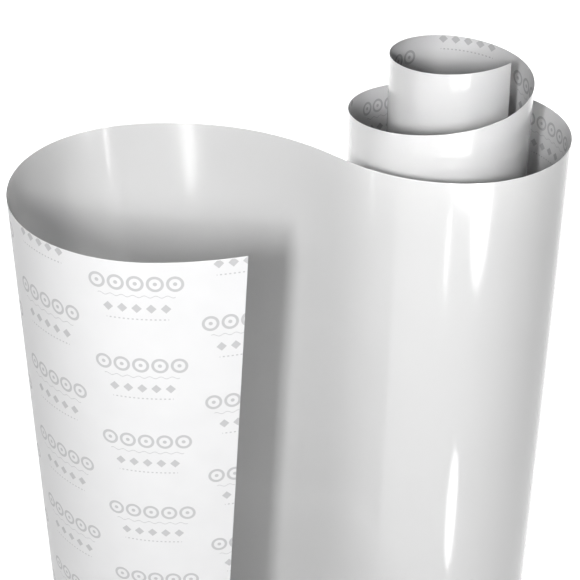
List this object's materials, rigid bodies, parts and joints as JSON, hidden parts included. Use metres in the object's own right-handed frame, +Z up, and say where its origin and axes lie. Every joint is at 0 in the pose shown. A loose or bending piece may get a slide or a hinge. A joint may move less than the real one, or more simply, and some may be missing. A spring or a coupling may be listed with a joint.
{
  "type": "roll of sign vinyl",
  "caption": "Strip of white sign vinyl on a release liner, standing on edge: a loose roll with its inner turns drawn up and a long free leader curled into a loop.",
  "frame": {"origin": "on the floor under the middle of the bounding box", "axes": "+Z up across the strip's width, +X from the leader loop towards the roll, -Y towards the side that the free end lies on"},
  "size_m": [0.4857, 0.331, 0.6806],
  "materials": {
    "gloss_vinyl": "high gloss white calendered film",
    "adhesive": "thin grey-white pressure-sensitive coat",
    "liner_paper": "smooth coated release paper, printed in pale grey"
  },
  "bodies": {
    "root": {"face_film": "gloss_vinyl", "adhesive_layer": "adhesive", "release_liner": "liner_paper"}
  },
  "joints": []
}
